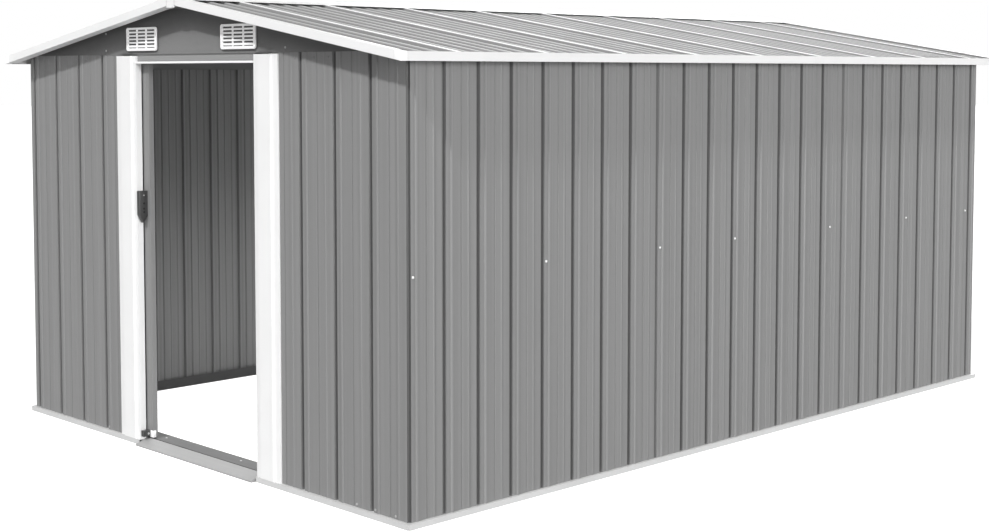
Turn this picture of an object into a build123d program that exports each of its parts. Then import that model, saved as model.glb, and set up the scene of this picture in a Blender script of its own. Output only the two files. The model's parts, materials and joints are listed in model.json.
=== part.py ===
from build123d import *

import os

# Storage shed of formed sheet steel: ribbed walls on a base frame, a gable roof of ribbed sheets
# with white trims, and one door leaf that slides along the inside of the front wall.
# Millimetres. +Z is up, +X is to the right of someone facing the door, and the front faces -Y.
# The origin is on the ground, at the middle of the roof's outline.

# Doorway and sliding leaf: the front wall is as wide as the open leaf needs
door_offset = 20.0
opening_width = 794.0
leaf_lap = 50.0
handle_gap = 7.0
handle_width = 18.0
handle_inset = 18.0
pocket_spare = 77.0

# Heights and lengths of the building
wall_length = 3640.0
base_height = 20.0
wall_height = 1540.0
header_height = 36.0
eave_drop = 3.0
roof_rise = 216.5
eave_overhang = 61.0
gable_overhang = 84.0

# Gauges and clearances
sheet = 1.0
trim_sheet = 1.5
rail_sheet = 2.0
seam_gap = 0.6
running_gap = 0.4

# Ribs rolled into the wall sheets
front_pitch = 190.0
side_pitch = 155.5
sheet_pitches = 4
groove_width = 20.0
groove_floor = 10.0
groove_depth = 11.0
bead_offset = 34.0
bead_width = 14.0
bead_crest = 6.0
bead_height = 4.0
crease_share = 0.5
crease_width = 8.0
crease_floor = 3.0
crease_depth = 2.0
minor_share = 0.72
minor_width = 12.0
minor_crest = 5.0
minor_height = 1.5
notch_depth = 6.0
notch_slope = 3.0

# Base rail, and the flat strip that stands behind the feet of the sheets
base_ledge = 12.0
inner_rail_height = 45.0

# Lower door track and threshold
track_front = 24.0
track_height = 24.0
track_lip = 2.0
track_groove_width = 8.0
track_groove_depth = 12.0
track_ledge = 75.0
track_end_gap = 23.0
threshold_reach = 30.0
threshold_nose = 5.0
threshold_end_gap = 2.0

# Door jambs and header
jamb_outer_band = 34.0
jamb_raised_band = 84.0
jamb_inner_band = 27.0
jamb_slope = 3.0
jamb_stand = 5.0
jamb_rise = 7.0
jamb_return = 20.0
jamb_cover = 40.0
jamb_head_gap = 5.0
header_end_gap = 0.6
header_set = 3.0
header_lip = 18.0
header_flange = 10.0

# Upper door track
upper_track_width = 19.0
upper_track_height = 22.0
upper_track_end = 40.0

# Gables and their vents
gable_stand = 2.0
gable_flange = 56.0
gable_clearance = 29.5
vent_centre = 327.0
vent_width = 218.0
vent_height = 92.0
vent_sill = 14.0
vent_depth = 9.0
vent_border = 18.0
vent_columns = 3
vent_rows = 6
vent_bar = 12.0
vent_slat = 7.5
vent_pocket = 5.0
vent_corner = 8.0

# Framing inside the walls and under the ridge
top_rail_drop = 54.0
top_rail_seat = 40.0
side_wall_drop = 20.0
beam_width = 50.0
beam_height = 40.0
beam_end_gap = 4.0

# Roof sheets
rib_pitch = 412.0
rib_width = 40.0
rib_crest = 18.0
rib_height = 12.0
rib_edge = 100.0
minor_ribs = 5
minor_rib_width = 34.0
minor_rib_crest = 14.0
minor_rib_height = 7.0
edge_rib_crest = 24.0
edge_rib_slope = 12.0
ridge_gap = 8.0
roof_seam_rib = 1

# White roof trims
trim_height = 31.0
trim_inset = 1.0
eave_lip = 20.0
rake_flange = 30.0
rake_lip = 45.0
apex_gap = 55.0
cap_half_width = 100.0
cap_roll_width = 30.0
cap_roll = 5.0
cap_end_gap = 2.0
corner_length = 30.0
corner_wall = 2.5
sleeve_place = 390.0
sleeve_length = 40.0

# Sliding leaf
leaf_front = 26.0
leaf_depth = 21.0
leaf_bottom = 34.0
leaf_head_gap = 30.0
stile_width = 45.0
leaf_rail_height = 45.0
leaf_rail_level = 818.0
leaf_sheet_set = 5.0
leaf_groove_depth = 5.0
leaf_groove_count = 4
leaf_pitch = 190.0
handle_height = 128.0
handle_level = 893.0
handle_depth = 40.0
handle_point = 20.0
handle_front_rise = 35.0
handle_back_rise = 28.0
handle_edge = 3.0
runner_length = 60.0
runner_inset = 20.0
bracket_depth = 32.0
bracket_height = 24.0

# Places that follow from those sizes
opening_half = opening_width / 2
leaf_width = opening_width + leaf_lap
leaf_lead = door_offset - opening_half + handle_gap + handle_width + handle_inset
leaf_rear = leaf_lead - leaf_width
half_width = pocket_spare - leaf_rear
half_length = wall_length / 2
half_roof = half_width + eave_overhang
half_roof_length = half_length + gable_overhang
wall_depth = groove_depth + sheet
wall_top = base_height + wall_height
header_bottom = wall_top - header_height
jamb_outer = opening_half + jamb_inner_band + jamb_raised_band + jamb_outer_band
eave_top = wall_top - eave_drop
eave_bottom = eave_top - trim_height
rib_top = eave_top + roof_rise
pan_under = rib_top - rib_height - sheet
fall = roof_rise / half_roof
gable_half = (pan_under - wall_top - sheet) / fall
leaf_top = wall_top - leaf_head_gap
leaf_back = leaf_front + leaf_depth
track_back = track_front + track_lip + track_groove_width + track_ledge
groove_front = track_front + track_lip
groove_back = groove_front + track_groove_width
upper_track_front = leaf_front + (leaf_depth - upper_track_width) / 2

os.makedirs("parts", exist_ok=True)


def save(piece, name):
    """Labels a finished piece and writes its file."""
    piece.part.label = name
    export_step(piece.part, "parts/" + name + ".step")


def fill(points):
    """Fills the open sketch with the closed outline through these points."""
    with BuildLine() as border:
        Polyline(*points, close=True)
    make_face(border.edges())


def roof_height(level, x):
    """Height at x of a roof layer that would reach this level over the ridge."""
    return level - fall * abs(x)


def fold(centre, foot, crest, height):
    """Four points of one rib, as (place along the sheet, depth into the building)."""
    return [
        (centre - foot / 2, 0),
        (centre - crest / 2, height),
        (centre + crest / 2, height),
        (centre + foot / 2, 0),
    ]


def depth_at(line, place):
    """Depth of a folded line at one place, flat beyond its ends."""
    for (u0, d0), (u1, d1) in zip(line, line[1:]):
        if u0 <= place <= u1 and u1 > u0:
            return d0 + (d1 - d0) * (place - u0) / (u1 - u0)
    return 0


def clip(line, start, end):
    """The stretch of a folded line between two places."""
    inner = [point for point in line if start < point[0] < end]
    return [(start, depth_at(line, start)), *inner, (end, depth_at(line, end))]


def wall_line(grooves, pitch, free_start, free_end, depth=groove_depth):
    """Folded line of a sheet: a groove, bead, crease and low rib in each pitch, within the free stretch."""
    line = []
    for centre in grooves:
        for rib in (
            fold(centre, groove_width, groove_floor, depth),
            fold(centre + bead_offset, bead_width, bead_crest, -bead_height),
            fold(centre + pitch * crease_share, crease_width, crease_floor, crease_depth),
            fold(centre + pitch * minor_share, minor_width, minor_crest, -minor_height),
        ):
            if rib[0][0] >= free_start and rib[-1][0] <= free_end:
                line += rib
    return line


def cornered_line(grooves, pitch, end, free_start, free_end):
    """Folded line of a whole wall, whose two ends turn in at the building's corners."""
    bend = end - notch_slope
    corners = [(-end, notch_depth), (-bend, 0), (bend, 0), (end, notch_depth)]
    return sorted(corners + wall_line(grooves, pitch, max(free_start, -bend), min(free_end, bend)))


def raise_sheet(line, place, bottom, top):
    """Stands a folded sheet upright, with place() turning (along, depth) into plan points."""
    outer = [place(u, d) for u, d in line]
    inner = [place(u, d + sheet) for u, d in reversed(line)]
    with BuildSketch(Plane.XY.offset(bottom)) as plan:
        fill(outer + inner)
    extrude(plan.sketch, amount=top - bottom)


def on_front(u, d):
    return (u, -half_length + d)


def on_back(u, d):
    return (-u, half_length - d)


def on_right(u, d):
    return (half_width - d, u)


def on_left(u, d):
    return (-half_width + d, u)


def under_roof(side):
    """Plane of the roof sheets' underside on one slope, facing up."""
    return Plane(origin=(0, 0, pan_under), x_dir=(0, 1, 0), z_dir=(side * fall, 0, 1))


def slope_run(start, end):
    """Length along the slope between two distances from the ridge."""
    return (end - start) * (1 + fall**2) ** 0.5


# Base rails: bottom flange, outer web and a ledge under the sheets, mitred at corners
rail_section = [
    (-base_ledge, 0),
    (wall_depth, 0),
    (wall_depth, rail_sheet),
    (rail_sheet - base_ledge, rail_sheet),
    (rail_sheet - base_ledge, base_height - rail_sheet),
    (wall_depth, base_height - rail_sheet),
    (wall_depth, base_height),
    (-base_ledge, base_height),
]
rail_half_width = half_width + base_ledge
rail_half_length = half_length + base_ledge
rail_start = opening_half + trim_sheet + seam_gap


def corner_mitre(side_x, side_y):
    """Upright plane through a corner of the walls, facing the long side's half of the corner."""
    return Plane(
        origin=(side_x * half_width, side_y * half_length, 0),
        x_dir=(0, 0, 1),
        z_dir=(side_x, -side_y, 0),
    )


for side, name in ((-1, "left"), (1, "right")):
    with BuildPart() as base_rail_side:
        with BuildSketch(Plane.XZ.offset(-rail_half_length)):
            fill([(side * (half_width - d), z) for d, z in rail_section])
        extrude(amount=rail_half_length * 2)
        for end in (-1, 1):
            split(bisect_by=corner_mitre(side, end), keep=Keep.TOP)
    save(base_rail_side, "base_rail_" + name)

    front_start = door_offset + side * rail_start
    with BuildPart() as base_rail_front:
        with BuildSketch(Plane.YZ.offset(front_start)):
            fill([(d - half_length, z) for d, z in rail_section])
        extrude(amount=side * rail_half_width - front_start)
        split(bisect_by=corner_mitre(side, -1), keep=Keep.BOTTOM)
    save(base_rail_front, "base_rail_front_" + name)

with BuildPart() as base_rail_back:
    with BuildSketch(Plane.YZ.offset(-rail_half_width)):
        fill([(half_length - d, z) for d, z in rail_section])
    extrude(amount=rail_half_width * 2)
    for side in (-1, 1):
        split(bisect_by=corner_mitre(side, 1), keep=Keep.BOTTOM)
save(base_rail_back, "base_rail_back")

# Inner rails: flat strips on edge against the base rails, behind the feet of the sheets
inner_half_width = half_width - wall_depth
inner_half_length = half_length - wall_depth
strip_half = rail_sheet / 2
side_strip_length = (inner_half_length - rail_sheet - seam_gap) * 2
with BuildPart() as base_inner_rails:
    with BuildSketch():
        with Locations((0, inner_half_length - strip_half)):
            Rectangle(inner_half_width * 2, rail_sheet)
        for side in (-1, 1):
            with Locations((side * (inner_half_width - strip_half), 0)):
                Rectangle(rail_sheet, side_strip_length)
            strip_start = door_offset + side * rail_start
            strip_end = side * inner_half_width
            with Locations(((strip_start + strip_end) / 2, strip_half - inner_half_length)):
                Rectangle(abs(strip_end - strip_start), rail_sheet)
    extrude(amount=inner_rail_height)
save(base_inner_rails, "base_inner_rails")

# Lower track behind the front wall, with the groove that guides the leaf
threshold_half = opening_half - threshold_end_gap
track_left = -half_width + wall_depth + rail_sheet + track_end_gap
track_right = door_offset + threshold_half
track_floor = track_height - track_groove_depth
track_section = [
    (track_front, 0),
    (track_front, track_height + track_lip),
    (groove_front, track_height + track_lip),
    (groove_front, track_floor),
    (groove_back, track_floor),
    (groove_back, track_height),
    (track_back, track_height),
    (track_back, 0),
    (track_back - rail_sheet, 0),
    (track_back - rail_sheet, track_height - rail_sheet),
    (groove_back + rail_sheet, track_height - rail_sheet),
    (groove_back + rail_sheet, track_floor - rail_sheet),
    (groove_front, track_floor - rail_sheet),
    (groove_front, 0),
]
with BuildPart() as door_bottom_track:
    with BuildSketch(Plane.YZ.offset(track_left)):
        fill([(d - half_length, z) for d, z in track_section])
    extrude(amount=track_right - track_left)
save(door_bottom_track, "door_bottom_track")

# Threshold: a sloped plate from the ground up to the track, closed at both ends, between the jambs
threshold_top = track_height + track_lip
threshold_section = [
    (-threshold_reach, 0),
    (-threshold_reach, threshold_nose),
    (track_front - trim_sheet, threshold_top),
    (track_front, threshold_top),
    (track_front, threshold_top - rail_sheet),
    (trim_sheet - threshold_reach, threshold_nose - trim_sheet),
    (trim_sheet - threshold_reach, 0),
]
threshold_end = [
    (-threshold_reach, 0),
    (-threshold_reach, threshold_nose),
    (track_front - trim_sheet, threshold_top),
    (track_front, threshold_top),
    (track_front, 0),
]
with BuildPart() as door_threshold:
    with BuildSketch(Plane.YZ.offset(door_offset - threshold_half)):
        fill([(d - half_length, z) for d, z in threshold_section])
    extrude(amount=threshold_half * 2)
    for side in (-1, 1):
        with BuildSketch(Plane.YZ.offset(door_offset + side * threshold_half)):
            fill([(d - half_length, z) for d, z in threshold_end])
        extrude(amount=-side * trim_sheet)
save(door_threshold, "door_threshold")

# Front wall beside the doorway: the groove grid is counted from the right-hand corner
front_grooves = [half_width - k * front_pitch for k in range(int(half_width * 2 / front_pitch) + 1)]
front_grooves.sort()
front_end = half_width - notch_depth
jamb_seat = jamb_outer - jamb_cover
front_stretches = {
    "left": (-front_end, door_offset - jamb_seat, -front_end, door_offset - jamb_outer),
    "right": (door_offset + jamb_seat, front_end, door_offset + jamb_outer, front_end),
}
for side, name in ((-1, "left"), (1, "right")):
    start, end, free_start, free_end = front_stretches[name]
    front_line = cornered_line(front_grooves, front_pitch, front_end, free_start, free_end)
    with BuildPart() as front_wall:
        raise_sheet(clip(front_line, start, end), on_front, base_height, wall_top)
        split(bisect_by=under_roof(side), keep=Keep.BOTTOM)
    save(front_wall, "front_wall_" + name)

# Back wall: the same sheets turned round, meeting in the groove nearest the middle
back_line = cornered_line(front_grooves, front_pitch, front_end, -front_end, front_end)
back_seam = min(front_grooves, key=abs)
for side, name in ((-1, "right"), (1, "left")):
    start, end = sorted((back_seam + side * seam_gap / 2, side * front_end))
    with BuildPart() as back_wall:
        raise_sheet(clip(back_line, start, end), on_back, base_height, wall_top)
        split(bisect_by=under_roof(-side), keep=Keep.BOTTOM)
    save(back_wall, "back_wall_" + name)

# Side walls: sheets of a few pitches that meet in a groove, two to a node, counted from the front
side_grooves = [k * side_pitch - half_length for k in range(int(wall_length / side_pitch) + 1)]
side_end = half_length - notch_depth - sheet
side_line = cornered_line(side_grooves, side_pitch, side_end, -side_end, side_end)
side_seams = [-side_end, *side_grooves[sheet_pitches::sheet_pitches], side_end]
side_sheets = list(zip(side_seams, side_seams[1:]))
stretch_names = ("front", "middle", "back")
side_top = wall_top - side_wall_drop
for place, name in ((on_left, "left"), (on_right, "right")):
    for number, stretch in enumerate(stretch_names):
        share = [
            ends
            for index, ends in enumerate(side_sheets)
            if index * len(stretch_names) // len(side_sheets) == number
        ]
        with BuildPart() as side_wall:
            for start, end in share:
                trimmed = clip(side_line, start + seam_gap / 2, end - seam_gap / 2)
                raise_sheet(trimmed, place, base_height, side_top)
        save(side_wall, name + "_wall_" + stretch)

# Door jambs: folded covers around the edges of the front wall, with a raised middle band
jamb_line = [
    (jamb_outer, 0),
    (jamb_outer, -jamb_stand),
    (jamb_outer - jamb_outer_band, -jamb_stand),
    (jamb_outer - jamb_outer_band - jamb_slope, -jamb_stand - jamb_rise),
    (opening_half + jamb_inner_band + jamb_slope, -jamb_stand - jamb_rise),
    (opening_half + jamb_inner_band, -jamb_stand),
    (opening_half, -jamb_stand),
    (opening_half, jamb_return),
]
for side, name in ((-1, "left"), (1, "right")):
    with BuildPart() as door_jamb:
        with BuildSketch(Plane.XY.offset(base_height)):
            with BuildLine():
                Polyline(*[on_front(door_offset + side * u, d) for u, d in jamb_line])
                offset(amount=trim_sheet, side=Side.LEFT if side < 0 else Side.RIGHT, kind=Kind.INTERSECTION)
            make_face()
        extrude(amount=wall_top - jamb_head_gap - base_height)
    save(door_jamb, "door_jamb_" + name)

# Header between the jambs: a web set back under the gable, with a flange below that reaches forward
header_half = opening_half - header_end_gap
header_back = header_set + trim_sheet
header_section = [
    (-jamb_stand, header_bottom),
    (header_lip, header_bottom),
    (header_lip, header_bottom + trim_sheet),
    (header_back, header_bottom + trim_sheet),
    (header_back, wall_top - trim_sheet),
    (header_flange, wall_top - trim_sheet),
    (header_flange, wall_top),
    (header_set, wall_top),
    (header_set, header_bottom + trim_sheet),
    (-jamb_stand, header_bottom + trim_sheet),
]
with BuildPart() as door_header:
    with BuildSketch(Plane.YZ.offset(door_offset - header_half)):
        fill([(d - half_length, z) for d, z in header_section])
    extrude(amount=header_half * 2)
save(door_header, "door_header")

# Upper track, an inverted channel under the gable's flange
upper_track_back = upper_track_front + upper_track_width
upper_track_bottom = wall_top - upper_track_height
upper_track_section = [
    (upper_track_front, upper_track_bottom),
    (upper_track_front, wall_top),
    (upper_track_back, wall_top),
    (upper_track_back, upper_track_bottom),
    (upper_track_back - trim_sheet, upper_track_bottom),
    (upper_track_back - trim_sheet, wall_top - trim_sheet),
    (upper_track_front + trim_sheet, wall_top - trim_sheet),
    (upper_track_front + trim_sheet, upper_track_bottom),
]
upper_track_left = max(-gable_half, leaf_rear)
upper_track_right = door_offset + opening_half + upper_track_end
with BuildPart() as door_upper_track:
    with BuildSketch(Plane.YZ.offset(upper_track_left)):
        fill([(d - half_length, z) for d, z in upper_track_section])
    extrude(amount=upper_track_right - upper_track_left)
save(door_upper_track, "door_upper_track")

# Gables: flat sheets with a flange that rests on the wall, cut flat below the ridge
gable_top = pan_under - gable_clearance
gable_top_half = gable_clearance / fall
gable_outline = [
    (-gable_half, wall_top),
    (gable_half, wall_top),
    (gable_half, roof_height(pan_under, gable_half)),
    (gable_top_half, gable_top),
    (-gable_top_half, gable_top),
    (-gable_half, roof_height(pan_under, gable_half)),
]
vent_bottom = wall_top + vent_sill
slot_width = (vent_width - vent_border * 2 - vent_bar * (vent_columns - 1)) / vent_columns
slot_height = (vent_height - vent_border * 2 - vent_slat * (vent_rows - 1)) / vent_rows
for side, name in ((-1, "front"), (1, "back")):
    face_y = side * (half_length + gable_stand)
    with BuildPart() as gable:
        with BuildSketch(Plane.XZ.offset(-face_y)):
            fill(gable_outline)
        extrude(amount=side * sheet)
        with BuildSketch(Plane.XY.offset(wall_top)):
            with Locations((0, face_y - side * (gable_stand + gable_flange) / 2)):
                Rectangle(gable_half * 2, gable_stand + gable_flange)
        extrude(amount=sheet)
    save(gable, name + "_gable")

    # Louvred vents: flat plates on the gable with rows of sunken slots
    vent_plane = Plane(origin=(0, face_y, vent_bottom + vent_height / 2), x_dir=(1, 0, 0), z_dir=(0, side, 0))
    with BuildPart() as vents:
        with BuildSketch(vent_plane):
            with Locations((-vent_centre, 0), (vent_centre, 0)):
                RectangleRounded(vent_width, vent_height, vent_corner)
        extrude(amount=vent_depth)
        with BuildSketch(vent_plane.offset(vent_depth - vent_pocket)):
            with Locations((-vent_centre, 0), (vent_centre, 0)):
                with GridLocations(slot_width + vent_bar, slot_height + vent_slat, vent_columns, vent_rows):
                    Rectangle(slot_width, slot_height)
        extrude(amount=vent_pocket, mode=Mode.SUBTRACT)
    save(vents, name + "_vents")

# Top rails inside the side walls, with a sloped seat for the roof sheets
rail_face = half_width - wall_depth
top_rail_bottom = wall_top - top_rail_drop - eave_drop
top_rail_section = [
    (rail_face, top_rail_bottom),
    (rail_face, roof_height(pan_under, rail_face)),
    (rail_face - top_rail_seat, roof_height(pan_under, rail_face - top_rail_seat)),
    (rail_face - top_rail_seat, roof_height(pan_under, rail_face - top_rail_seat) - rail_sheet),
    (rail_face - rail_sheet, roof_height(pan_under, rail_face - rail_sheet) - rail_sheet),
    (rail_face - rail_sheet, top_rail_bottom),
]
top_rail_half = half_length - gable_flange
with BuildPart() as side_top_rails:
    for side in (-1, 1):
        with BuildSketch(Plane.XZ.offset(-top_rail_half)):
            fill([(side * x, z) for x, z in top_rail_section])
        extrude(amount=top_rail_half * 2)
save(side_top_rails, "side_top_rails")

# Ridge beam, a folded channel under the upper ends of the roof sheets
beam_half = beam_width / 2
beam_edge = roof_height(pan_under, beam_half)
beam_inner = beam_half - rail_sheet
beam_half_length = half_length - beam_end_gap
beam_section = [
    (-beam_half, beam_edge - beam_height),
    (-beam_half, beam_edge),
    (0, pan_under),
    (beam_half, beam_edge),
    (beam_half, beam_edge - beam_height),
    (beam_inner, beam_edge - beam_height),
    (beam_inner, roof_height(pan_under, beam_inner) - rail_sheet),
    (0, pan_under - rail_sheet),
    (-beam_inner, roof_height(pan_under, beam_inner) - rail_sheet),
    (-beam_inner, beam_edge - beam_height),
]
with BuildPart() as ridge_beam:
    with BuildSketch(Plane.XZ.offset(-beam_half_length)):
        fill(beam_section)
    extrude(amount=beam_half_length * 2)
save(ridge_beam, "ridge_beam")

# Roof sheets: ribs run from ridge to eave, neighbours meet along the crest of a rib, and the outer
# edges rise to the rake trims' flanges
trim_half_length = half_roof_length - trim_inset
trim_half_roof = half_roof - trim_inset
roof_end = trim_half_length - trim_sheet
rib_count = int((half_roof_length - rib_edge) / rib_pitch)
edge_rib_height = rib_height - trim_sheet
edge_crest_start = roof_end - edge_rib_crest
edge_foot = edge_crest_start - edge_rib_slope
roof_edge = [(roof_end, edge_rib_height), (edge_crest_start, edge_rib_height), (edge_foot, 0)]
roof_line = [(end * y, rise) for end in (-1, 1) for y, rise in roof_edge]
for k in range(-rib_count - 1, rib_count + 1):
    if k >= -rib_count:
        roof_line += fold(k * rib_pitch, rib_width, rib_crest, rib_height)
    for number in range(1, minor_ribs + 1):
        centre = (k + number / (minor_ribs + 1)) * rib_pitch
        if abs(centre) + rib_edge / 2 < roof_end:
            roof_line += fold(centre, minor_rib_width, minor_rib_crest, minor_rib_height)
roof_line.sort()
roof_seam = roof_seam_rib * rib_pitch
roof_seams = [-roof_end, -roof_seam, roof_seam, roof_end]
roof_stop = trim_half_roof - trim_sheet
for side, name in ((-1, "left"), (1, "right")):
    for start, end, stretch in zip(roof_seams, roof_seams[1:], stretch_names):
        first = start if start == -roof_end else start + seam_gap / 2
        last = end if end == roof_end else end - seam_gap / 2
        line = clip(roof_line, first, last)
        level = roof_height(pan_under, ridge_gap)
        upper = [(y, level + sheet + rise) for y, rise in line]
        lower = [(y, level + rise) for y, rise in reversed(line)]
        with BuildPart() as roof_sheet:
            with BuildSketch(Plane.YZ.offset(side * ridge_gap)):
                fill(upper + lower)
            extrude(amount=slope_run(ridge_gap, roof_stop), dir=(side, 0, -fall))
        save(roof_sheet, "roof_" + name + "_" + stretch)

# Ridge cap: a folded strip on the ribs with a roll along its top, its ends turned down over the gables
cap_roll_half = cap_roll_width / 2
cap_end_half = apex_gap / 2 - cap_end_gap
with BuildPart() as ridge_cap:
    with BuildSketch(Plane.XZ.offset(-trim_half_length)):
        with BuildLine():
            for lift in (0, trim_sheet):
                arc_end = (cap_roll_half, roof_height(rib_top, cap_roll_half) + lift)
                foot = (cap_half_width, roof_height(rib_top, cap_half_width) + lift)
                Line((-foot[0], foot[1]), (-arc_end[0], arc_end[1]))
                ThreePointArc((-arc_end[0], arc_end[1]), (0, rib_top + cap_roll + lift), arc_end)
                Line(arc_end, foot)
            for end in (-cap_half_width, cap_half_width):
                edge = roof_height(rib_top, end)
                Line((end, edge), (end, edge + trim_sheet))
        make_face()
    extrude(amount=trim_half_length * 2)
    for side in (-1, 1):
        with BuildSketch(Plane.XZ.offset(side * trim_half_length)):
            fill(
                [
                    (-cap_end_half, gable_top),
                    (cap_end_half, gable_top),
                    (cap_end_half, roof_height(rib_top, cap_end_half)),
                    (cap_roll_half, roof_height(rib_top, cap_roll_half)),
                    (0, rib_top + cap_roll),
                    (-cap_roll_half, roof_height(rib_top, cap_roll_half)),
                    (-cap_end_half, roof_height(rib_top, cap_end_half)),
                ]
            )
        extrude(amount=-side * trim_sheet)
save(ridge_cap, "ridge_cap")

# Eave trims: an upright face at the roof's edge with a lip below, thicker over two joints
eave_half_length = half_roof_length - corner_length
for side, name in ((-1, "left"), (1, "right")):
    with BuildPart() as eave_trim:
        with BuildSketch(Plane.XZ.offset(-eave_half_length)):
            fill(
                [
                    (side * trim_half_roof, eave_bottom),
                    (side * trim_half_roof, eave_top),
                    (side * (trim_half_roof - trim_sheet), eave_top),
                    (side * (trim_half_roof - trim_sheet), eave_bottom + trim_sheet),
                    (side * (trim_half_roof - eave_lip), eave_bottom + trim_sheet),
                    (side * (trim_half_roof - eave_lip), eave_bottom),
                ]
            )
        extrude(amount=eave_half_length * 2)
        with BuildSketch(Plane.YZ.offset(side * trim_half_roof)):
            with Locations((-sleeve_place, eave_bottom), (sleeve_place, eave_bottom)):
                Rectangle(sleeve_length, trim_height, align=(Align.CENTER, Align.MIN))
        extrude(amount=side * trim_inset)
    save(eave_trim, "eave_trim_" + name)

# Rake trims: channels down both slopes of each gable end, with a gap between them at the ridge
rake_start = apex_gap / 2
rake_end = half_roof - corner_length
rake_level = roof_height(rib_top, rake_start)
rake_section = [
    (0, rake_level - trim_height),
    (0, rake_level),
    (rake_flange, rake_level),
    (rake_flange, rake_level - trim_sheet),
    (trim_sheet, rake_level - trim_sheet),
    (trim_sheet, rake_level - trim_height + trim_sheet),
    (rake_lip, rake_level - trim_height + trim_sheet),
    (rake_lip, rake_level - trim_height),
]
for end, name in ((-1, "front"), (1, "back")):
    with BuildPart() as rake_trims:
        for side in (-1, 1):
            with BuildSketch(Plane.YZ.offset(side * rake_start)):
                fill([(end * (trim_half_length - d), z) for d, z in rake_section])
            extrude(amount=slope_run(rake_start, rake_end), dir=(side, 0, -fall))
    save(rake_trims, name + "_rake_trims")

# Corner caps that close the roof trims where eave and rake meet
corner_level = roof_height(rib_top, rake_end)
with BuildPart() as roof_corner_caps:
    for side in (-1, 1):
        for end in (-1, 1):
            with BuildSketch(Plane.YZ.offset(side * rake_end)):
                fill(
                    [
                        (end * half_roof_length, corner_level),
                        (end * (half_roof_length - corner_wall), corner_level),
                        (end * (half_roof_length - corner_wall), corner_level - trim_height),
                        (end * half_roof_length, corner_level - trim_height),
                    ]
                )
            extrude(amount=slope_run(rake_end, half_roof), dir=(side, 0, -fall))
            with BuildSketch(Plane.XZ.offset(-end * half_roof_length)):
                fill(
                    [
                        (side * half_roof, eave_top),
                        (side * (half_roof - corner_wall), eave_top),
                        (side * (half_roof - corner_wall), eave_bottom),
                        (side * half_roof, eave_bottom),
                    ]
                )
            extrude(amount=end * corner_length)
save(roof_corner_caps, "roof_corner_caps")

# Leaf stiles, two upright tubes
leaf_height = leaf_top - leaf_bottom
leaf_middle = leaf_front + leaf_depth / 2 - half_length
with BuildPart() as door_stiles:
    with BuildSketch(Plane.XY.offset(leaf_bottom)):
        stile_half = stile_width / 2
        with Locations((leaf_lead - stile_half, leaf_middle), (leaf_rear + stile_half, leaf_middle)):
            Rectangle(stile_width, leaf_depth)
            Rectangle(stile_width - trim_sheet * 2, leaf_depth - trim_sheet * 2, mode=Mode.SUBTRACT)
    extrude(amount=leaf_height)
save(door_stiles, "door_stiles")

# Leaf sheet, ribbed like the walls, between the stiles
sheet_start = leaf_rear + stile_width
sheet_end = leaf_lead - stile_width
sheet_middle = (sheet_start + sheet_end) / 2
leaf_groove_start = sheet_middle - leaf_pitch * (leaf_groove_count - 1) / 2
leaf_grooves = [leaf_groove_start + k * leaf_pitch for k in range(leaf_groove_count)]
leaf_line = wall_line(leaf_grooves, leaf_pitch, sheet_start, sheet_end, leaf_groove_depth)
leaf_face = leaf_front + leaf_sheet_set


def on_leaf(u, d):
    return (u, leaf_face + d - half_length)


with BuildPart() as door_sheet:
    raise_sheet(clip(leaf_line, sheet_start, sheet_end), on_leaf, leaf_bottom, leaf_top)
save(door_sheet, "door_sheet")

# Leaf rails behind the sheet: bottom, middle and top
leaf_rail_front = leaf_face + leaf_groove_depth + sheet
leaf_rail_depth = leaf_back - leaf_rail_front
with BuildPart() as door_rails:
    for level in (leaf_bottom, leaf_rail_level, leaf_top - leaf_rail_height):
        with BuildSketch(Plane.XY.offset(level)):
            with Locations((sheet_middle, leaf_rail_front + leaf_rail_depth / 2 - half_length)):
                Rectangle(sheet_end - sheet_start, leaf_rail_depth)
        extrude(amount=leaf_rail_height)
save(door_rails, "door_rails")

# Pull handle on the leading stile, pointed at its foot when seen from the side
handle_right = leaf_lead - handle_inset
handle_front = leaf_front - handle_depth
handle_outline = [
    (leaf_front, handle_level + handle_height),
    (leaf_front, handle_level + handle_back_rise),
    (leaf_front - handle_point, handle_level),
    (handle_front, handle_level + handle_front_rise),
    (handle_front, handle_level + handle_height),
]
with BuildPart() as door_handle:
    with BuildSketch(Plane.YZ.offset(handle_right - handle_width)):
        fill([(d - half_length, z) for d, z in handle_outline])
    extrude(amount=handle_width)
    chamfer(door_handle.faces().sort_by(Axis.Y)[0].edges(), length=handle_edge)
save(door_handle, "door_handle")

# Runners: hangers in the upper track and guides in the lower groove, at both ends of the leaf, and a
# bracket on the foot of the leading stile
hanger_front = upper_track_front + trim_sheet + running_gap
hanger_back = upper_track_back - trim_sheet - running_gap
hanger_top = wall_top - trim_sheet - running_gap
guide_front = groove_front + running_gap
guide_back = groove_back - running_gap
guide_bottom = track_floor + running_gap
runner_places = (leaf_rear + runner_inset + runner_length / 2, leaf_lead - runner_inset - runner_length / 2)
with BuildPart() as door_runners:
    for front, back, bottom, top in (
        (hanger_front, hanger_back, leaf_top, hanger_top),
        (guide_front, guide_back, guide_bottom, leaf_bottom),
    ):
        with BuildSketch(Plane.XY.offset(bottom)):
            with Locations(*[(x, (front + back) / 2 - half_length) for x in runner_places]):
                Rectangle(runner_length, back - front)
        extrude(amount=top - bottom)
    with BuildSketch(Plane.XY.offset(leaf_bottom)):
        with Locations((handle_right, leaf_front - half_length)):
            Rectangle(handle_width, bracket_depth, align=(Align.MAX, Align.MAX))
    extrude(amount=bracket_height)
save(door_runners, "door_runners")
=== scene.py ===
"""Looks of the storage shed: finishes, louvres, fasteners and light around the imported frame. Metres."""
import json
import math

import bmesh
import bpy
from mathutils import Matrix, Vector


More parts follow.
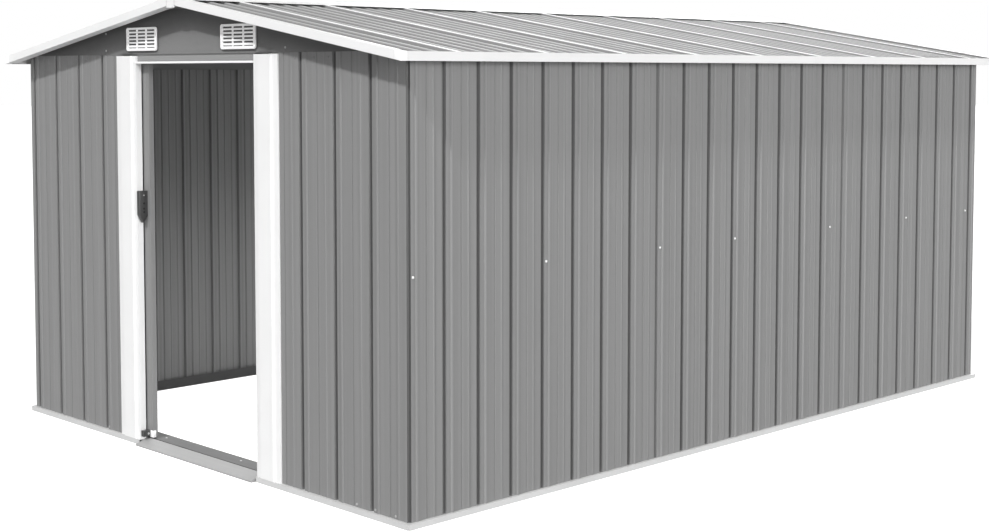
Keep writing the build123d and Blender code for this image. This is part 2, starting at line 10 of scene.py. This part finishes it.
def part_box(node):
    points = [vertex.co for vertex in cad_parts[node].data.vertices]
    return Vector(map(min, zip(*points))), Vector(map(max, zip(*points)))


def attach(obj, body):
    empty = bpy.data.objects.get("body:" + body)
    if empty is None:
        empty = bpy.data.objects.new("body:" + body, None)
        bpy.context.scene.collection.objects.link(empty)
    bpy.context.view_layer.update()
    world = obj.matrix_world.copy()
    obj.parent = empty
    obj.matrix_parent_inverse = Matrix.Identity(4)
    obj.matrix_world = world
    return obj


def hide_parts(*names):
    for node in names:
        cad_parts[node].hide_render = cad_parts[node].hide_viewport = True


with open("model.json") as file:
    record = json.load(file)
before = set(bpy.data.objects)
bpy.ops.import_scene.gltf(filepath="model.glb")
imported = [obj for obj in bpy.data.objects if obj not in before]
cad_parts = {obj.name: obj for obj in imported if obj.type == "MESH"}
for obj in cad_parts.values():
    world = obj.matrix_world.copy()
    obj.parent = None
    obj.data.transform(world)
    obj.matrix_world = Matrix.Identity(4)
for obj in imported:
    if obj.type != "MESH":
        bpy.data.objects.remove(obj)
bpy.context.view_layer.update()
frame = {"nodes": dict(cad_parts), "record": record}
nodes = frame["nodes"]

# Camera, at the photograph's viewing angle
camera_place = (5.03, -5.10, 1.488)
camera_yaw = math.radians(45.83)
camera_pitch = math.radians(3.45)
camera_lens = 56.6
camera_shift = -0.10

# Light: a key from the front, a broad fill from the right, a faint one from behind, a pale surround
# and a lamp under the roof
key_azimuth = math.radians(10)
key_elevation = math.radians(47)
key_strength = 2.45
key_angle = math.radians(4)
fill_azimuth = math.radians(80)
fill_elevation = math.radians(8)
fill_strength = 2.15
fill_angle = math.radians(25)
back_azimuth = math.radians(215)
back_elevation = math.radians(10)
back_strength = 1.4
back_angle = math.radians(30)
surround_strength = 0.34
room_power = 52.0
room_level = 1.46
room_width = 2.0
room_length = 3.2
room_spread = math.radians(70)
floor_reach = 60.0
bounce_share = 0.5
floor_glow = 0.8

# Sizes of the solids that the finishes and small pieces follow
base_ledge = 0.012
corner_fold = 0.0098
side_pitch = 0.1555
bead_place = 0.034
bead_half = 0.006
low_rib_place = 0.112
low_rib_half = 0.006
roof_pitch = 0.412
minor_pitches = 6
crest_half = 0.010
minor_crest_half = 0.008
minor_foot_near = 0.012
minor_foot_far = 0.024
gable_stand = 0.002
track_lip = 0.002

# Louvre plates
vent_centre = 0.327
vent_corner = 0.010
vent_columns = 3
vent_rows = 6
slot_width = 0.0612
slot_height = 0.0068
last_slot_height = 0.003
slot_corner = 0.0014
column_pitch = 0.066
row_pitch = 0.0135
plate_bevel = 0.0015
shade_thickness = 0.002
shade_bevel = 0.0005
shade_border = 0.010
arc_steps = 6
plate_bevel_steps = 2

# Screws: head sizes, and places along and up the walls
cap_radius = 0.0047
cap_height = 0.003
screw_radius = 0.0045
screw_height = 0.003
screw_sides = 20
dome_shares = ((1.0, 0.0), (1.0, 0.35), (0.85, 0.72), (0.5, 0.94))
side_screw_level = 0.826
side_screw_pitches = (0.12, 4.12, 8.12, 11.12, 15.43, 19.38, 22.81)
gable_screw_place = 0.605
gable_screw_levels = (1.577, 1.645)
foot_screw_level = 0.030
foot_screw_places = (-0.6265, 0.985, 1.0835, 1.187)
head_screw_level = 1.540
head_screw_places = (-0.845, -0.765, -0.655, 0.655, 0.765, 0.845)
ledge_screw_places = (-0.311, 0.204)
ledge_screw_inset = 0.036

# Pull handle, corner caps and the rolled lip of the header
pull_edge = 0.0022
pull_segments = 3
pull_screw_radius = 0.0028
pull_screw_height = 0.0012
pull_plug_radius = 0.0042
pull_screw_depth = 0.017
pull_screw_drops = (0.018, 0.050, 0.071, 0.085)
bracket_screw_inset = 0.010
bracket_screw_rise = 0.011
corner_edge = 0.003
corner_segments = 4
lip_height = 0.008
lip_depth = 0.005
lip_corner = 0.0022

# Guide shoes round the feet of the leaf's stiles
shoe_length = 0.020
shoe_wall = 0.0015
shoe_drop = 0.004
shoe_height = 0.028
shoe_depth_share = 0.6
shoe_edge = 0.0006
shoe_segments = 2

# How far apart mesh points are joined, the angles that count as flat and as an edge, and the fullness
# of a rounded edge
weld_distance = 0.00001
flat_angle = math.radians(1)
edge_angle = math.radians(25)
round_profile_share = 0.5

# Paint: the share of light sent back, its roughness, streaks along each axis, their depth and extras:
# rounded edges, painted shade in hollows, and a glow that is painted light
finishes = {
    # The walls' grooves are darkened as painted shade
    "wall": {"share": 0.245, "roughness": 0.5, "streaks": (60.0, 60.0, 0.4), "depth": 0.06,
             "shade": {"darkest": 0.45, "reach": 0.03, "alone": True}},
    # The gable is darkened towards the roof as painted shade under the overhang
    "gable": {"share": 0.25, "roughness": 0.5, "streaks": (2.0, 2.0, 3.0), "depth": 0.03,
              "shade": {"darkest": 0.36, "reach": 0.30, "alone": False, "range_shares": (0.76, 0.93)}},
    "roof": {"share": 0.305, "roughness": 0.5, "streaks": (0.6, 60.0, 0.6), "depth": 0.04},
    "trim": {"share": 0.88, "roughness": 0.4, "streaks": (5.0, 5.0, 5.0), "depth": 0.015,
             "edge": 0.0015},
    # The eave trims are the trims' white steel painted a little darker, as painted shade
    "eave": {"share": 0.81, "roughness": 0.4, "streaks": (5.0, 5.0, 5.0), "depth": 0.015,
             "edge": 0.0015},
    "base": {"share": 0.63, "roughness": 0.4, "streaks": (5.0, 5.0, 5.0), "depth": 0.03,
             "edge": 0.0015},
    # The header is white steel painted grey, as painted shade in its recess
    "header": {"share": 0.32, "roughness": 0.45, "streaks": (3.0, 40.0, 40.0), "depth": 0.03,
               "edge": 0.001},
    "threshold": {"share": 0.325, "roughness": 0.4, "streaks": (3.0, 90.0, 3.0), "depth": 0.03},
    # The track's groove is darkened as painted shade
    "track": {"share": 0.155, "roughness": 0.45, "streaks": (3.0, 90.0, 3.0), "depth": 0.04,
              "shade": {"darkest": 0.25, "reach": 0.03, "alone": True}},
    # The inner base rails' dark paint is partly their own grey and partly painted shade inside the walls
    "inner_rail": {"share": 0.08, "roughness": 0.5, "streaks": (3.0, 3.0, 3.0), "depth": 0.05},
    "top_rail": {"share": 0.18, "roughness": 0.5, "streaks": (3.0, 3.0, 3.0), "depth": 0.05},
    "zinc": {"share": 0.42, "roughness": 0.4, "streaks": (30.0, 30.0, 30.0), "depth": 0.08},
    # The white plastic glows faintly: painted light that keeps it white in shade
    "white_plastic": {"share": 0.86, "roughness": 0.35, "streaks": (20.0, 20.0, 20.0), "depth": 0.01,
                      "edge": 0.001, "glow": 0.15},
    "black_plastic": {"share": 0.052, "roughness": 0.4, "streaks": (60.0, 60.0, 4.0), "depth": 0.2},
    "plug": {"share": 0.01, "roughness": 0.8, "streaks": (60.0, 60.0, 60.0), "depth": 0.1},
    # Dark paint of the sheet behind the louvre slots: painted shade
    "vent_shade": {"share": 0.12, "roughness": 0.8, "streaks": (20.0, 20.0, 20.0), "depth": 0.1},
    "floor": {"share": 0.95, "roughness": 0.9, "streaks": (3.0, 3.0, 3.0), "depth": 0.004},
}
finishes["side_wall"] = finishes["wall"]
# Shares of painted highlights and painted shade: on the roof ribs' crests and feet, the walls' corner
# folds, and the side walls' beads and low ribs
crest_highlight_share = 0.85
minor_crest_highlight_share = 1.25
foot_shade_share = 0.7
corner_shade_share = 0.25
bead_highlight_share = 1.08
low_rib_shade_share = 0.91
paint_detail = 3.0
gloss_spread = 0.06
gloss_streaks = (7.0, 7.0, 7.0)
grain_streaks = (900.0, 900.0, 900.0)
grain_detail = 1.0
grain_strength = 0.06
grain_height = 0.0004
shade_samples = 8
shade_range_shares = (0.45, 0.95)
noise_range_shares = (0.3, 0.7)

rail_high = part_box("base_rail_right")[1]
wall_x = rail_high.x - base_ledge
wall_y = rail_high.y - base_ledge

slot_finish = {
    "grey_steel": "wall",
    "white_steel": "trim",
    "pale_steel": "threshold",
    "bare_steel": "zinc",
    "white_plastic": "white_plastic",
    "dark_plastic": "black_plastic",
}
node_finish = {
    "front_gable": "gable",
    "back_gable": "gable",
    "eave_trim_left": "eave",
    "eave_trim_right": "eave",
    "door_header": "header",
    "door_bottom_track": "track",
    "base_inner_rails": "inner_rail",
    "side_top_rails": "top_rail",
}


def grey(share):
    """A neutral colour."""
    return (share, share, share, 1.0)


def place_of(tree):
    """A point's place in the piece's own metres."""
    return tree.nodes.new("ShaderNodeTexCoord").outputs["Object"]


def axes_of(tree):
    """A point's X, Y and Z in the piece's own metres."""
    axes = tree.nodes.new("ShaderNodeSeparateXYZ")
    tree.links.new(place_of(tree), axes.inputs["Vector"])
    return axes.outputs


def add_noise(tree, streaks, detail=paint_detail):
    """Noise in metres, with a scale for each axis."""
    mapping = tree.nodes.new("ShaderNodeMapping")
    mapping.inputs["Scale"].default_value = streaks
    noise = tree.nodes.new("ShaderNodeTexNoise")
    noise.inputs["Scale"].default_value = 1.0
    noise.inputs["Detail"].default_value = detail
    tree.links.new(place_of(tree), mapping.inputs["Vector"])
    tree.links.new(mapping.outputs["Vector"], noise.inputs["Vector"])
    return noise.outputs["Fac"]


def spread(tree, value, low, high, from_range=noise_range_shares):
    """Maps a value to a range."""
    ranged = tree.nodes.new("ShaderNodeMapRange")
    ranged.inputs["From Min"].default_value, ranged.inputs["From Max"].default_value = from_range
    ranged.inputs["To Min"].default_value = low
    ranged.inputs["To Max"].default_value = high
    tree.links.new(value, ranged.inputs["Value"])
    return ranged.outputs["Result"]


def combine(tree, operation, first, second):
    """One arithmetic step on two values, each a number or a node's output."""
    step = tree.nodes.new("ShaderNodeMath")
    step.operation = operation
    for socket, value in zip(step.inputs, (first, second)):
        if isinstance(value, (int, float)):
            socket.default_value = value
        else:
            tree.links.new(value, socket)
    return step.outputs["Value"]


def recess_shade(tree, darkest, reach, alone, range_shares=shade_range_shares):
    """A factor of painted shade that falls towards the darkest share in hollows, of the piece alone or of
    all pieces.
    """
    hollow = tree.nodes.new("ShaderNodeAmbientOcclusion")
    hollow.samples = shade_samples
    hollow.only_local = alone
    hollow.inputs["Distance"].default_value = reach
    return spread(tree, hollow.outputs["AO"], darkest, 1.0, range_shares)


def between(tree, value, low, high):
    """One where a value lies between two limits, and zero elsewhere."""
    above = combine(tree, "GREATER_THAN", value, low)
    below = combine(tree, "LESS_THAN", value, high)
    return combine(tree, "MULTIPLY", above, below)


def scaled_where(tree, value, mask, share):
    """A value times a share where the mask is one."""
    return combine(tree, "MULTIPLY", value, spread(tree, mask, 1.0, share, (0.0, 1.0)))


def roof_highlights_and_shade(tree, value):
    """Painted highlights on the crests and painted shade at the feet of the small ribs, and near-white
    painted highlights on the crests of the main ribs.
    """
    along = axes_of(tree)["Y"]
    from_minor = combine(tree, "PINGPONG", along, roof_pitch / minor_pitches / 2)
    foot_shade_mask = between(tree, from_minor, minor_foot_near, minor_foot_far)
    value = scaled_where(tree, value, foot_shade_mask, foot_shade_share)
    minor_highlight_mask = combine(tree, "LESS_THAN", from_minor, minor_crest_half)
    value = scaled_where(tree, value, minor_highlight_mask, minor_crest_highlight_share)
    crest_highlight_mask = combine(tree, "LESS_THAN", combine(tree, "PINGPONG", along, roof_pitch / 2), crest_half)
    return combine(tree, "MAXIMUM", value, combine(tree, "MULTIPLY", crest_highlight_mask, crest_highlight_share))


def corner_shade(tree, value):
    """Painted shade that darkens the folds where two walls meet at the building's corners."""
    axes = axes_of(tree)
    near = []
    for axis, wall in (("X", wall_x), ("Y", wall_y)):
        away = combine(tree, "ABSOLUTE", axes[axis], 0)
        near.append(combine(tree, "GREATER_THAN", away, wall - corner_fold))
    return scaled_where(tree, value, combine(tree, "MULTIPLY", *near), corner_shade_share)


def side_highlights_and_shade(tree, value):
    """Painted highlights on the beads and painted shade on the low ribs along a side wall, and the painted
    shade of its corner folds.
    """
    from_corner = combine(tree, "ADD", axes_of(tree)["Y"], wall_y)
    from_groove = combine(tree, "MODULO", from_corner, side_pitch)
    ribs = ((bead_place, bead_half, bead_highlight_share), (low_rib_place, low_rib_half, low_rib_shade_share))
    for place, half, share in ribs:
        on_rib = between(tree, from_groove, place - half, place + half)
        value = scaled_where(tree, value, on_rib, share)
    return corner_shade(tree, value)


def soft_bounce(tree, value):
    """A floor that shows white and sends less light back up onto the object."""
    seen = tree.nodes.new("ShaderNodeLightPath").outputs["Is Camera Ray"]
    glow = combine(tree, "MULTIPLY", seen, floor_glow)
    tree.links.new(glow, tree.nodes["Principled BSDF"].inputs["Emission Strength"])
    return combine(tree, "MULTIPLY", value, bounce_share)


def painted(name, share, roughness, streaks, depth, edge=0, shade=None, glow=0, pattern=None):
    """Paint with faint streaks, uneven gloss, a fine grain and, where asked, painted shade in recesses, a
    glow that is painted light, or a pattern: painted highlights and shade on walls and roof, the floor's
    glow and weaker bounce.
    """
    material = bpy.data.materials.new(name)
    material.use_nodes = True
    tree = material.node_tree
    shader = tree.nodes["Principled BSDF"]
    shader.inputs["Base Color"].default_value = grey(share)
    value = spread(tree, add_noise(tree, streaks), share * (1 - depth), share * (1 + depth))
    # Painted shade in hollows
    if shade:
        value = combine(tree, "MULTIPLY", value, recess_shade(tree, **shade))
    # A pattern paints highlights and shade on walls and roof, and sets the floor's glow
    if pattern:
        value = pattern(tree, value)
    tree.links.new(value, shader.inputs["Base Color"])
    gloss = spread(tree, add_noise(tree, gloss_streaks), roughness - gloss_spread, roughness + gloss_spread)
    tree.links.new(gloss, shader.inputs["Roughness"])
    # A glow on a piece that is no lamp is painted light
    shader.inputs["Emission Color"].default_value = grey(1.0)
    shader.inputs["Emission Strength"].default_value = glow
    bump = tree.nodes.new("ShaderNodeBump")
    bump.inputs["Strength"].default_value = grain_strength
    bump.inputs["Distance"].default_value = grain_height
    tree.links.new(add_noise(tree, grain_streaks, grain_detail), bump.inputs["Height"])
    if edge:
        bevel = tree.nodes.new("ShaderNodeBevel")
        bevel.inputs["Radius"].default_value = edge
        tree.links.new(bevel.outputs["Normal"], bump.inputs["Normal"])
    tree.links.new(bump.outputs["Normal"], shader.inputs["Normal"])
    return material


patterns = {"wall": corner_shade, "side_wall": side_highlights_and_shade, "roof": roof_highlights_and_shade, "floor": soft_bounce}
materials = {}
for name, facts in finishes.items():
    materials[name] = painted(name + "_paint", pattern=patterns.get(name), **facts)


def finish_of(name, node_slot):
    """The finish of a carried-over node."""
    if name.startswith("roof_") and node_slot == "grey_steel":
        return materials["roof"]
    if name.startswith(("left_wall_", "right_wall_")):
        return materials["side_wall"]
    if name.startswith("base_rail_"):
        return materials["base"]
    return materials[node_finish.get(name, slot_finish[node_slot])]


def add_piece(name, mesh, finish, body="shed", stands_for=None):
    """Makes a piece of the object from a mesh, with its finish and body, and hides the node that it stands
    for.
    """
    piece = bpy.data.objects.new(name, mesh)
    bpy.context.scene.collection.objects.link(piece)
    mesh.materials.clear()
    mesh.materials.append(materials[finish])
    mesh.shade_smooth()
    mesh.set_sharp_from_angle(angle=edge_angle)
    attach(piece, body)
    if stands_for:
        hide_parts(stands_for)


def finished_mesh(name, shape):
    """Turns an edited shape into a mesh."""
    bmesh.ops.recalc_face_normals(shape, faces=shape.faces)
    mesh = bpy.data.meshes.new(name)
    shape.to_mesh(mesh)
    shape.free()
    return mesh


def standing_on(point, normal):
    """Matrix that puts a small piece on a face, with its own Z along the face's normal."""
    return Matrix.Translation(point) @ Vector(normal).to_track_quat("Z", "Y").to_matrix().to_4x4()


def add_dome(shape, radius, height, matrix):
    """A low screw head: a straight rim under a domed top, by shares of its radius and height."""
    rings = []
    for radius_share, height_share in dome_shares:
        ring = []
        for step in range(screw_sides):
            turn = math.tau * step / screw_sides
            reach = radius * radius_share
            local = Vector((math.cos(turn) * reach, math.sin(turn) * reach, height * height_share))
            ring.append(shape.verts.new(matrix @ local))
        rings.append(ring)
    for lower, upper in zip(rings, rings[1:]):
        for step in range(screw_sides):
            after = (step + 1) % screw_sides
            shape.faces.new((lower[step], lower[after], upper[after], upper[step]))
    shape.faces.new(rings[-1])
    shape.faces.new(list(reversed(rings[0])))


def add_screws(name, spots, radius, height, finish, slot, body="shed"):
    """One piece of screw heads, each at a point with the normal of the face that it sits on."""
    shape = bmesh.new()
    for point, normal in spots:
        add_dome(shape, radius, height, standing_on(point, normal))
    add_piece(name, finished_mesh(name, shape), finish, body)


def rounded_outline(centre, width, height, radius):
    """Points round a rectangle with rounded corners."""
    points = []
    for quarter, (side_x, side_y) in enumerate(((1, 1), (-1, 1), (-1, -1), (1, -1))):
        middle = (centre[0] + side_x * (width / 2 - radius), centre[1] + side_y * (height / 2 - radius))
        for step in range(arc_steps + 1):
            turn = math.pi / 2 * (quarter + step / arc_steps)
            points.append((middle[0] + math.cos(turn) * radius, middle[1] + math.sin(turn) * radius))
    return points


def flat_plate(name, outlines, thickness, bevel):
    """A flat plate through closed outlines, the inner ones as holes, with its edges rounded."""
    curve = bpy.data.curves.new(name, "CURVE")
    curve.dimensions = "2D"
    curve.fill_mode = "BOTH"
    curve.extrude = thickness / 2 - bevel
    curve.bevel_depth = bevel
    curve.bevel_resolution = plate_bevel_steps
    curve.offset = -bevel
    for outline in outlines:
        spline = curve.splines.new("POLY")
        spline.points.add(len(outline) - 1)
        for point, (x, y) in zip(spline.points, outline):
            point.co = (x, y, 0, 1)
        spline.use_cyclic_u = True
    holder = bpy.data.objects.new(name, curve)
    mesh = bpy.data.meshes.new_from_object(holder)
    bpy.data.objects.remove(holder)
    bpy.data.curves.remove(curve)
    return mesh


def louvre_slots(centre):
    """Outlines of the slots of one vent, the lowest row thinner than the rest."""
    outlines = []
    for row in range(vent_rows):
        height = last_slot_height if row == 0 else slot_height
        level = centre[1] + (row - (vent_rows - 1) / 2) * row_pitch
        for column in range(vent_columns):
            place = centre[0] + (column - (vent_columns - 1) / 2) * column_pitch
            outlines.append(rounded_outline((place, level), slot_width, height, slot_corner))
    return outlines


def add_louvres(end, side):
    """The two louvred plates of one gable and a dark sheet behind their slots, painted shade for the space
    inside.
    """
    node = end + "_vents"
    low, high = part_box(node)
    width = (high.x - vent_centre) * 2
    height = high.z - low.z
    depth = high.y - low.y
    middle_z = (low.z + high.z) / 2
    face_y = high.y if side < 0 else low.y
    turn = Matrix.Rotation(math.pi / 2, 4, "X")
    if side > 0:
        turn = Matrix.Rotation(math.pi, 4, "Z") @ turn
    centres = [(-vent_centre, 0), (vent_centre, 0)]
    plates = []
    shades = []
    for centre in centres:
        plates += [rounded_outline(centre, width, height, vent_corner), *louvre_slots(centre)]
        shades.append(rounded_outline(centre, width - shade_border, height - shade_border, vent_corner))
    plate = flat_plate(end + "_louvres", plates, depth - shade_thickness, plate_bevel)
    out_y = face_y + side * (shade_thickness + depth) / 2
    plate.transform(Matrix.Translation((0, out_y, middle_z)) @ turn)
    add_piece(end + "_louvres", plate, "white_plastic", stands_for=node)
    # The dark sheet behind the slots is painted shade for the space inside
    shade = flat_plate(end + "_louvre_shade", shades, shade_thickness, shade_bevel)
    shade.transform(Matrix.Translation((0, face_y + side * shade_thickness / 2, middle_z)) @ turn)
    add_piece(end + "_louvre_shade", shade, "vent_shade")


def round_edges(shape, radius, segments):
    """Rounds the edges where two faces meet at more than the edge angle."""
    sharp = [edge for edge in shape.edges if edge.is_manifold and edge.calc_face_angle() > edge_angle]
    bmesh.ops.bevel(
        shape, geom=sharp, offset=radius, segments=segments, profile=round_profile_share,
        affect="EDGES", clamp_overlap=True,
    )


def add_pull():
    """The pull handle with rounded edges, its screws, and one on the bracket at the leaf's foot."""
    shape = bmesh.new()
    shape.from_mesh(nodes["door_handle"].data)
    bmesh.ops.remove_doubles(shape, verts=shape.verts, dist=weld_distance)
    bmesh.ops.dissolve_limit(shape, angle_limit=flat_angle, verts=shape.verts, edges=shape.edges)
    round_edges(shape, pull_edge, pull_segments)
    mesh = finished_mesh("door_pull", shape)
    add_piece("door_pull", mesh, "black_plastic", "door", "door_handle")
    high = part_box("door_handle")[1]
    spots = [((high.x, high.y - pull_screw_depth, high.z - drop), (1, 0, 0)) for drop in pull_screw_drops]
    sizes = (pull_screw_radius, pull_screw_height)
    add_screws("pull_screw", spots[:1], *sizes, "zinc", "bare_steel", "door")
    sizes = (pull_plug_radius, pull_screw_height)
    add_screws("pull_plugs", spots[1:], *sizes, "plug", "dark_plastic", "door")
    leaf_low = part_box("door_stiles")[0]
    bracket_spot = (high.x, leaf_low.y - bracket_screw_inset, leaf_low.z + bracket_screw_rise)
    bracket_spots = [(bracket_spot, (1, 0, 0))]
    sizes = (screw_radius, pull_screw_height)
    add_screws("bracket_screw", bracket_spots, *sizes, "zinc", "bare_steel", "door")


def add_corner_caps():
    """Rounded caps over the four corners of the roof trims."""
    shape = bmesh.new()
    source = [vertex.co.copy() for vertex in nodes["roof_corner_caps"].data.vertices]
    for side_x in (-1, 1):
        for side_y in (-1, 1):
            corner = [shape.verts.new(co) for co in source if co.x * side_x > 0 and co.y * side_y > 0]
            hull = bmesh.ops.convex_hull(shape, input=corner)
            bmesh.ops.delete(shape, geom=hull["geom_interior"], context="VERTS")
    bmesh.ops.remove_doubles(shape, verts=shape.verts, dist=weld_distance)
    bmesh.ops.dissolve_limit(shape, angle_limit=flat_angle, verts=shape.verts, edges=shape.edges)
    round_edges(shape, corner_edge, corner_segments)
    mesh = finished_mesh("rounded_corner_caps", shape)
    add_piece("rounded_corner_caps", mesh, "white_plastic", stands_for="roof_corner_caps")


def add_leaf_shoes():
    """White guide shoes that wrap the front corners of the leaf's two stiles, at their feet."""
    low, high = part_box("door_stiles")
    rear_y = low.y + (high.y - low.y) * shoe_depth_share
    bottom = low.z - shoe_drop
    shape = bmesh.new()
    for end_x, outward in ((low.x, -1), (high.x, 1)):
        inner_x = end_x - outward * shoe_length
        outer_x = end_x + outward * shoe_wall
        plan = [
            (inner_x, low.y - shoe_wall),
            (outer_x, low.y - shoe_wall),
            (outer_x, rear_y),
            (end_x, rear_y),
            (end_x, low.y),
            (inner_x, low.y),
        ]
        foot = shape.faces.new([shape.verts.new((x, y, bottom)) for x, y in plan])
        raised = bmesh.ops.extrude_face_region(shape, geom=[foot])["geom"]
        top = [corner for corner in raised if isinstance(corner, bmesh.types.BMVert)]
        bmesh.ops.translate(shape, verts=top, vec=(0, 0, shoe_height))
    bmesh.ops.recalc_face_normals(shape, faces=shape.faces)
    round_edges(shape, shoe_edge, shoe_segments)
    add_piece("leaf_shoes", finished_mesh("leaf_shoes", shape), "white_plastic", "door")


def add_header_lip():
    """A rolled white lip along the lower edge of the header."""
    low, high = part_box("door_header")
    outline = rounded_outline((0, 0), lip_depth, lip_height, lip_corner)
    centre_y = low.y - lip_depth / 2
    centre_z = low.z + lip_height / 2
    shape = bmesh.new()
    ends = []
    for x in (low.x, high.x):
        ends.append([shape.verts.new((x, centre_y + y, centre_z + z)) for y, z in outline])
    count = len(outline)
    for step in range(count):
        after = (step + 1) % count
        shape.faces.new((ends[0][step], ends[0][after], ends[1][after], ends[1][step]))
    for ring in ends:
        shape.faces.new(ring)
    # The lip takes the glowing white plastic finish: painted light that keeps it bright white
    add_piece("header_lip", finished_mesh("header_lip", shape), "white_plastic")


def add_wall_screws():
    """Screw heads on the walls, gables and door track."""
    spots = [
        ((side * wall_x, pitches * side_pitch - wall_y, side_screw_level), (side, 0, 0))
        for side in (-1, 1)
        for pitches in side_screw_pitches
    ]
    add_screws("side_screws", spots, cap_radius, cap_height, "trim", "white_steel")

    gable_spots = [
        ((side * gable_screw_place, end * (wall_y + gable_stand), level), (0, end, 0))
        for end in (-1, 1)
        for side in (-1, 1)
        for level in gable_screw_levels
    ]
    add_screws("gable_screws", gable_spots, screw_radius, screw_height, "zinc", "bare_steel")

    foot_spots = [((x, -wall_y, foot_screw_level), (0, -1, 0)) for x in foot_screw_places]
    add_screws("foot_screws", foot_spots, screw_radius, screw_height, "zinc", "bare_steel")
    head_spots = [((x, -wall_y, head_screw_level), (0, -1, 0)) for x in head_screw_places]
    add_screws("head_screws", head_spots, screw_radius, screw_height, "wall", "grey_steel")

    track_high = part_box("door_bottom_track")[1]
    ledge_y = track_high.y - ledge_screw_inset
    ledge_level = track_high.z - track_lip
    ledge_spots = [((x, ledge_y, ledge_level), (0, 0, 1)) for x in ledge_screw_places]
    add_screws("track_screws", ledge_spots, screw_radius, screw_height, "zinc", "bare_steel")


def direction(azimuth, elevation):
    """Unit vector to a light: azimuth from -Y towards +X, elevation above the ground."""
    flat = math.cos(elevation)
    return Vector((math.sin(azimuth) * flat, -math.cos(azimuth) * flat, math.sin(elevation)))


def add_sun(name, azimuth, elevation, strength, angle):
    """A sun lamp from one direction."""
    lamp = bpy.data.lights.new(name, "SUN")
    lamp.energy = strength
    lamp.angle = angle
    lamp_object = bpy.data.objects.new(name, lamp)
    lamp_object.rotation_mode = "QUATERNION"
    lamp_object.rotation_quaternion = direction(azimuth, elevation).to_track_quat("Z", "Y")
    bpy.context.scene.collection.objects.link(lamp_object)


def add_room_lamp():
    """A soft lamp under the roof that shines down on the floor inside."""
    lamp = bpy.data.lights.new("room", "AREA")
    lamp.shape = "RECTANGLE"
    lamp.size = room_width
    lamp.size_y = room_length
    lamp.energy = room_power
    lamp.spread = room_spread
    lamp_object = bpy.data.objects.new("room", lamp)
    lamp_object.location = (0, 0, room_level)
    lamp_object.visible_camera = False
    bpy.context.scene.collection.objects.link(lamp_object)


def add_surround():
    """A pale surround that shows white behind the object and lights it more gently."""
    world = bpy.data.worlds.new("surround")
    world.use_nodes = True
    tree = world.node_tree
    sky = tree.nodes["Background"]
    sky.inputs["Color"].default_value = grey(1.0)
    sky.inputs["Strength"].default_value = surround_strength
    white = tree.nodes.new("ShaderNodeBackground")
    white.inputs["Color"].default_value = grey(1.0)
    path = tree.nodes.new("ShaderNodeLightPath")
    mix = tree.nodes.new("ShaderNodeMixShader")
    tree.links.new(path.outputs["Is Camera Ray"], mix.inputs["Fac"])
    tree.links.new(sky.outputs["Background"], mix.inputs[1])
    tree.links.new(white.outputs["Background"], mix.inputs[2])
    tree.links.new(mix.outputs["Shader"], tree.nodes["World Output"].inputs["Surface"])
    bpy.context.scene.world = world


def add_floor():
    """A plain pale floor."""
    mesh = bpy.data.meshes.new("floor")
    corners = ((-1, -1), (1, -1), (1, 1), (-1, 1))
    mesh.from_pydata([(x * floor_reach, y * floor_reach, 0) for x, y in corners], [], [(0, 1, 2, 3)])
    mesh.materials.append(materials["floor"])
    floor = bpy.data.objects.new("floor", mesh)
    bpy.context.scene.collection.objects.link(floor)


def add_camera():
    """The camera of the photograph's view."""
    camera = bpy.data.cameras.new("camera")
    camera.lens = camera_lens
    camera.shift_y = camera_shift
    camera_object = bpy.data.objects.new("camera", camera)
    camera_object.location = camera_place
    camera_object.rotation_euler = (math.pi / 2 - camera_pitch, 0, camera_yaw)
    bpy.context.scene.collection.objects.link(camera_object)
    bpy.context.scene.camera = camera_object


for entry in frame["record"]["subparts"]:
    mesh = nodes[entry["node"]].data
    mesh.materials.clear()
    mesh.materials.append(finish_of(entry["node"], entry["material_slot"]))

add_louvres("front", -1)
add_louvres("back", 1)
add_pull()
add_corner_caps()
add_leaf_shoes()
add_header_lip()
add_wall_screws()

add_camera()
add_sun("key", key_azimuth, key_elevation, key_strength, key_angle)
add_sun("fill", fill_azimuth, fill_elevation, fill_strength, fill_angle)
add_sun("back", back_azimuth, back_elevation, back_strength, back_angle)
add_room_lamp()
add_surround()
add_floor()
bpy.context.scene.view_settings.view_transform = "Standard"
